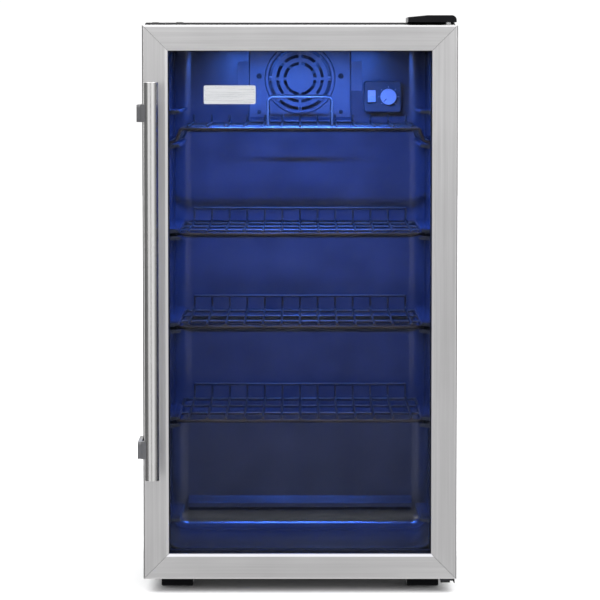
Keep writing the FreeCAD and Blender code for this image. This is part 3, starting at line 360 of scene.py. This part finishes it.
FINISHES = {
    "black_steel": painted("black_steel_paint", (0.011, 0.011, 0.012), 0.34, 0.48),
    "foam": foam("polyurethane_foam"),
    "liner_plastic": moulded("liner_plastic", (0.036, 0.044, 0.07), 0.16, 0.27,
                             grain=700.0, depth=0.00003, gloss=0.5),
    "zinc_steel": plated("zinc_sheet", (0.52, 0.53, 0.55), 0.32, 0.5, grain=60.0),
    "fan_plastic": moulded("fan_cover_plastic", (0.07, 0.08, 0.11), 0.24, 0.38, gloss=0.5),
    "motor_metal": plated("motor_can", (0.4, 0.4, 0.42), 0.3, 0.5),
    "screw_steel": plated("screw_plating", (0.62, 0.62, 0.63), 0.22, 0.38, grain=900.0),
    "evaporator_aluminium": drawn_metal("rolled_aluminium", (0.78, 0.78, 0.8), (0.56, 0.57, 0.6),
                                        0.28, 0.5),
    "coil_steel": painted("coil_paint", (0.05, 0.045, 0.043), 0.4, 0.6, grain=600.0),
    "black_plastic": moulded("black_plastic", (0.011, 0.011, 0.012), 0.4, 0.56),
    "led_diffuser": diffuser("frosted_diffuser"),
    "led_strip": circuit_board("white_circuit_board"),
    "control_plastic": moulded("control_plastic", (0.05, 0.052, 0.06), 0.35, 0.5),
    "compressor_enamel": painted("compressor_enamel", (0.01, 0.01, 0.011), 0.14, 0.26,
                                 grain=220.0, gloss=0.45),
    "black_rubber": rubber("black_rubber", (0.02, 0.02, 0.021)),
    "relay_plastic": moulded("relay_plastic", (0.04, 0.04, 0.045), 0.42, 0.6),
    "copper": drawn_metal("drawn_copper", (0.86, 0.43, 0.27), (0.4, 0.18, 0.1), 0.2, 0.42),
    "tray_plastic": moulded("tray_plastic", (0.09, 0.09, 0.1), 0.4, 0.55),
    "foot_plastic": moulded("foot_plastic", (0.005, 0.005, 0.006), 0.5, 0.65, gloss=0.06),
    "hinge_steel": painted("hinge_powder_coat", (0.01, 0.01, 0.011), 0.38, 0.5),
    "cap_plastic": moulded("gloss_cap_plastic", (0.004, 0.004, 0.005), 0.24, 0.36,
                           grain=2200.0, gloss=0.1),
    "stainless_vertical": brushed("steel_brushed_upright", "z", STEEL, 0.27, 0.38),
    "stainless_horizontal": brushed("steel_brushed_across", "x", STEEL, 0.27, 0.38),
    "door_plastic": moulded("door_frame_plastic", (0.011, 0.011, 0.013), 0.36, 0.5),
    "clear_glass": glass("tempered_glass"),
    "spacer_black": drawn_metal("black_anodised", (0.05, 0.05, 0.055), (0.03, 0.03, 0.033), 0.32, 0.5),
    "gasket_rubber": rubber("seal_rubber", (0.028, 0.028, 0.032)),
    "stainless_handle": brushed("handle_steel", "z", (0.66, 0.655, 0.655), 0.2, 0.3, across=3600.0),
    "bracket_metal": painted("bracket_satin", (0.1, 0.1, 0.105), 0.3, 0.42, metallic=0.6),
    "badge_metal": badge_plate("badge_aluminium"),
    "bush_plastic": moulded("acetal", (0.72, 0.72, 0.7), 0.35, 0.5, variation=0.05),
    "blade_plastic": moulded("blade_plastic", (0.04, 0.042, 0.05), 0.34, 0.5),
    "dial_plastic": moulded("dial_plastic", (0.5, 0.52, 0.56), 0.34, 0.48, variation=0.07),
    "switch_plastic": moulded("switch_plastic", (0.58, 0.6, 0.64), 0.24, 0.36, variation=0.06),
    "shelf_wire": coated_wire("bronze_coated_wire"),
}

for part in frame["record"]["subparts"]:
    mesh = frame["nodes"][part["node"]].data
    mesh.materials.clear()
    mesh.materials.append(FINISHES[part["material_slot"]].material)


# ------------------------------------------------------------- modelled pieces

def new_piece(name, mesh, body, slot_name):
    """Finishes a mesh, gives it its slot's material and hangs it on its CAD body."""
    piece = bpy.data.objects.new(name, mesh)
    bpy.context.scene.collection.objects.link(piece)
    mesh.materials.append(FINISHES[slot_name].material)
    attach(piece, body)
    return piece


def built_mesh(name, build):
    """The mesh of a finished bmesh, with its faces turned outward."""
    bmesh.ops.recalc_face_normals(build, faces=build.faces)
    mesh = bpy.data.meshes.new(name)
    build.to_mesh(mesh)
    build.free()
    return mesh


def ring_mesh(name, profile, low, high):
    """A closed (inset, depth) profile carried round a rectangle in the XZ plane, mitred at its corners."""
    build = bmesh.new()
    rows = []
    for inset, depth in profile:
        corners = ((low.x + inset, low.z + inset), (high.x - inset, low.z + inset),
                   (high.x - inset, high.z - inset), (low.x + inset, high.z - inset))
        rows.append([build.verts.new((x, depth, z)) for x, z in corners])
    for row, after in zip(rows, rows[1:] + rows[:1]):
        for corner in range(4):
            ahead = (corner + 1) % 4
            build.faces.new((row[corner], row[ahead], after[ahead], after[corner]))
    return built_mesh(name, build)


def smooth_loop(points, steps=5):
    """Points on the closed Catmull-Rom curve through the given points."""
    curve = []
    count = len(points)
    for index in range(count):
        p0, p1, p2, p3 = (Vector(points[(index + shift) % count]) for shift in (-1, 0, 1, 2))
        for step in range(steps):
            t = step / steps
            curve.append(0.5 * ((2 * p1) + (p2 - p0) * t + (2 * p0 - 5 * p1 + 4 * p2 - p3) * t * t
                                + (3 * p1 - p0 - 3 * p2 + p3) * t * t * t))
    return curve


def shade_smooth(mesh):
    mesh.shade_smooth()
    mesh.set_sharp_from_angle(angle=CRISP_EDGE)


def make_door_seal():
    """Magnetic door seal: a dart base, two bellows folds and a fat magnet pocket with a wiping lip."""
    low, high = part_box("door_gasket")
    front, deep = low.y, high.y - low.y
    profile = [(across * GASKET_WIDTH, front + along * deep)
               for across, along in smooth_loop(GASKET_OUTLINE)]
    mesh = ring_mesh("door_seal", profile, low, high)
    shade_smooth(mesh)
    seal = new_piece("door_seal", mesh, "door", "gasket_rubber")
    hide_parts("door_gasket")


def add_bar(build, start, end, width):
    """Adds a printed bar that runs from start to end on a face that looks toward -Y."""
    along = (end - start).normalized()
    across = Vector((-along.z, 0, along.x)) * (width / 2)
    raised = Vector((0, -PRINT_HEIGHT, 0))
    base = [start + across, end + across, end - across, start - across]
    low = [build.verts.new(p) for p in base]
    top = [build.verts.new(p + raised) for p in base]
    build.faces.new(top)
    build.faces.new(low[::-1])
    for index in range(4):
        ahead = (index + 1) % 4
        build.faces.new((low[index], low[ahead], top[ahead], top[index]))


def outward(angle):
    """A unit vector in the XZ plane, with the angle counted from +X toward +Z."""
    return Vector((math.cos(angle), 0, math.sin(angle)))


def make_dial_marks():
    """Printed ticks round the thermostat knob, and a pointer on it that turns with it."""
    low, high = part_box("thermostat_dial")
    centre = (low + high) / 2
    radius = (high.x - low.x) / 2
    face = Vector((centre.x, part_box("control_box")[0].y, centre.z))
    build = bmesh.new()
    for tick in range(DIAL_TICKS):
        way = outward(DIAL_START - DIAL_SWEEP * tick / (DIAL_TICKS - 1))
        start = face + way * (radius + TICK_GAP)
        add_bar(build, start, start + way * (TICK_LENGTH + TICK_GROWTH * tick), TICK_WIDTH)
    new_piece("dial_scale", built_mesh("dial_scale", build), "cabinet", "dial_plastic")

    knob = Vector((centre.x, low.y, centre.z))
    start, end = (knob + outward(DIAL_START) * (radius * share) for share in POINTER_REACH)
    build = bmesh.new()
    add_bar(build, start, end, POINTER_WIDTH)
    new_piece("dial_pointer", built_mesh("dial_pointer", build), "dial", "black_plastic")


def blade_sheet(build, axis, turn, root, tip, half, side):
    """One face of a blade, as rows of points from root to tip. side is 1 or -1."""
    rows = []
    inner = root * BLADE_START
    for i in range(BLADE_STATIONS):
        u = i / (BLADE_STATIONS - 1)
        radius = inner + (tip - inner) * u
        row = []
        for j in range(BLADE_CHORDS):
            v = j / (BLADE_CHORDS - 1)
            angle = turn + (v - 0.5) * (BLADE_WRAP[0] + BLADE_WRAP[1] * u) + BLADE_SWEEP * u * u
            camber = BLADE_CAMBER * half * math.sin(math.pi * v)
            pitch = (0.5 - v) * half * (BLADE_PITCH[0] - BLADE_PITCH[1] * u)
            fullness = min(max(v, BLADE_EDGE), 1 - BLADE_EDGE)
            thick = BLADE_THICKNESS * math.sin(math.pi * fullness) * side
            row.append(build.verts.new((axis.x + radius * math.cos(angle),
                                        axis.y + pitch - camber + thick,
                                        axis.z + radius * math.sin(angle))))
        rows.append(row)
    return rows


def add_blade(build, axis, turn, root, tip, half):
    """Two faces joined by a rim, so the blade is a closed solid."""
    front, back = (blade_sheet(build, axis, turn, root, tip, half, side) for side in (1, -1))
    last, far = BLADE_STATIONS - 1, BLADE_CHORDS - 1
    for i in range(last):
        for j in range(far):
            build.faces.new((front[i][j], front[i + 1][j], front[i + 1][j + 1], front[i][j + 1]))
            build.faces.new((back[i][j + 1], back[i + 1][j + 1], back[i + 1][j], back[i][j]))
    rim = [(i, 0) for i in range(last + 1)] + [(last, j) for j in range(1, far + 1)]
    rim += [(i, far) for i in range(last - 1, -1, -1)] + [(0, j) for j in range(far - 1, 0, -1)]
    for (i, j), (k, m) in zip(rim, rim[1:] + rim[:1]):
        build.faces.new((front[i][j], back[i][j], back[k][m], front[k][m]))


def add_hub(build, axis, root, half):
    """The hub outline turned about the fan's axis."""
    rings = []
    for share, depth in HUB_OUTLINE:
        ring = []
        for k in range(HUB_SIDES):
            angle = 2 * math.pi * k / HUB_SIDES
            ring.append(build.verts.new((axis.x + root * share * math.cos(angle), axis.y + half * depth,
                                         axis.z + root * share * math.sin(angle))))
        rings.append(ring)
    for ring, after in zip(rings, rings[1:]):
        for k in range(HUB_SIDES):
            ahead = (k + 1) % HUB_SIDES
            build.faces.new((ring[k], ring[ahead], after[ahead], after[k]))
    build.faces.new(rings[0])
    build.faces.new(rings[-1][::-1])


def make_fan_rotor():
    """Swept, cambered blades on a domed hub, in place of the plain CAD rotor."""
    low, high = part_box("fan_blade")
    axis = (low + high) / 2
    tip = (high.x - low.x) / 2
    root = tip * FAN_ROOT
    half = (high.y - low.y) / 2
    build = bmesh.new()
    for blade in range(FAN_BLADES):
        add_blade(build, axis, 2 * math.pi * blade / FAN_BLADES, root, tip, half)
    add_hub(build, axis, root, half)
    mesh = built_mesh("fan_rotor_blades", build)
    shade_smooth(mesh)
    rotor = new_piece("fan_rotor_blades", mesh, "fan_rotor", "blade_plastic")
    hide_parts("fan_blade")


make_door_seal()
make_dial_marks()
make_fan_rotor()


# ------------------------------------------------------- stage, light, camera

def add_floor():
    mesh = bpy.data.meshes.new("floor")
    corners = [(x * FLOOR_REACH, y * FLOOR_REACH, 0.0) for x, y in ((-1, -1), (1, -1), (1, 1), (-1, 1))]
    mesh.from_pydata(corners, [], [(0, 1, 2, 3)])
    floor = bpy.data.objects.new("floor", mesh)
    bpy.context.scene.collection.objects.link(floor)
    finish = Finish("pale_floor", Specular_IOR_Level=0.2)
    grain = finish.noise(3.0)
    finish.colour(grain, (0.86, 0.86, 0.865), (0.88, 0.88, 0.885))
    finish.rough(grain, 0.6, 0.75)
    mesh.materials.append(finish.material)
    floor.visible_glossy = False


def add_area_light(name, place, aim, size, power, rgb=(1.0, 1.0, 1.0)):
    light = bpy.data.lights.new(name, "AREA")
    light.shape = "RECTANGLE"
    light.size, light.size_y = size
    light.energy = power
    light.color = rgb
    lamp = bpy.data.objects.new(name, light)
    lamp.location = place
    lamp.rotation_mode = "QUATERNION"
    lamp.rotation_quaternion = (Vector(aim) - Vector(place)).to_track_quat("-Z", "Y")
    bpy.context.scene.collection.objects.link(lamp)
    return lamp


def add_world():
    """White to the eye. To surfaces it is a pale studio, with a dim gap where the viewer stands."""
    world = bpy.data.worlds.new("studio")
    bpy.context.scene.world = world
    world.use_nodes = True
    tree = world.node_tree
    tree.nodes.clear()

    def node(kind, **settings):
        made = tree.nodes.new(kind)
        for name, value in settings.items():
            setattr(made, name, value)
        return made

    def ramp(source, stops):
        made = node("ShaderNodeValToRGB")
        elements = made.color_ramp.elements
        while len(elements) < len(stops):
            elements.new(0.5)
        for element, (position, level) in zip(elements, stops):
            element.position = position
            element.color = (level, level, level, 1)
        tree.links.new(source, made.inputs["Fac"])
        return made.outputs["Color"]

    def times(first, second):
        made = node("ShaderNodeMix", data_type="RGBA", blend_type="MULTIPLY")
        made.inputs["Factor"].default_value = 1.0
        tree.links.new(first, made.inputs[MIX_COLOUR_A])
        tree.links.new(second, made.inputs[MIX_COLOUR_B])
        return made.outputs[MIX_COLOUR_RESULT]

    direction = node("ShaderNodeTexCoord").outputs["Generated"]
    split = node("ShaderNodeSeparateXYZ")
    tree.links.new(direction, split.inputs[0])

    def centred(axis):
        made = node("ShaderNodeMath", operation="MULTIPLY_ADD")
        tree.links.new(split.outputs[axis], made.inputs[0])
        made.inputs[1].default_value = 0.5
        made.inputs[2].default_value = 0.5
        return made.outputs[0]

    height = ramp(centred("Z"), STUDIO_BY_HEIGHT)
    side = ramp(centred("X"), STUDIO_BY_SIDE)
    gap = node("ShaderNodeVectorMath", operation="DOT_PRODUCT")
    tree.links.new(direction, gap.inputs[0])
    gap.inputs[1].default_value = Vector(VIEWER_DIRECTION).normalized()
    dim = ramp(gap.outputs["Value"], VIEWER_GAP)
    light_path = node("ShaderNodeLightPath")
    studio = node("ShaderNodeBackground")
    tree.links.new(times(times(height, side), dim), studio.inputs["Color"])
    studio.inputs["Strength"].default_value = STUDIO_STRENGTH
    white = node("ShaderNodeBackground")
    white.inputs["Color"].default_value = (1, 1, 1, 1)
    white.inputs["Strength"].default_value = BACKDROP_STRENGTH
    mix = node("ShaderNodeMixShader")
    tree.links.new(light_path.outputs["Is Camera Ray"], mix.inputs[0])
    tree.links.new(studio.outputs[0], mix.inputs[1])
    tree.links.new(white.outputs[0], mix.inputs[2])
    output = node("ShaderNodeOutputWorld")
    tree.links.new(mix.outputs[0], output.inputs["Surface"])


def add_lights():
    for name, place, size, power in SOFTBOXES:
        add_area_light(name, place, SOFTBOX_AIM, size, power)
    low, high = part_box("led_lens")
    place = Vector(((low.x + high.x) / 2, (low.y + high.y) / 2, low.z - LED_STANDOFF))
    strip = add_area_light("led_light", place, place + Vector(LED_DIRECTION),
                           (high.x - low.x, LED_STRIP_WIDTH), LED_POWER, LED_BLUE)
    strip.data.spread = LED_SPREAD
    strip.visible_camera = False


def add_camera():
    camera = bpy.data.cameras.new("camera")
    camera.lens = CAMERA_LENS
    camera.sensor_width = SENSOR_WIDTH
    camera.clip_end = 60.0
    eye = bpy.data.objects.new("camera", camera)
    eye.location = (DOOR_CENTRE_X, DOOR_FRONT - CAMERA_DISTANCE, CAMERA_HEIGHT)
    eye.rotation_euler = (math.pi / 2 + CAMERA_PITCH, 0, 0)
    bpy.context.scene.collection.objects.link(eye)
    bpy.context.scene.camera = eye


add_floor()
add_world()
add_lights()
add_camera()
bpy.context.scene.view_settings.view_transform = "Standard"
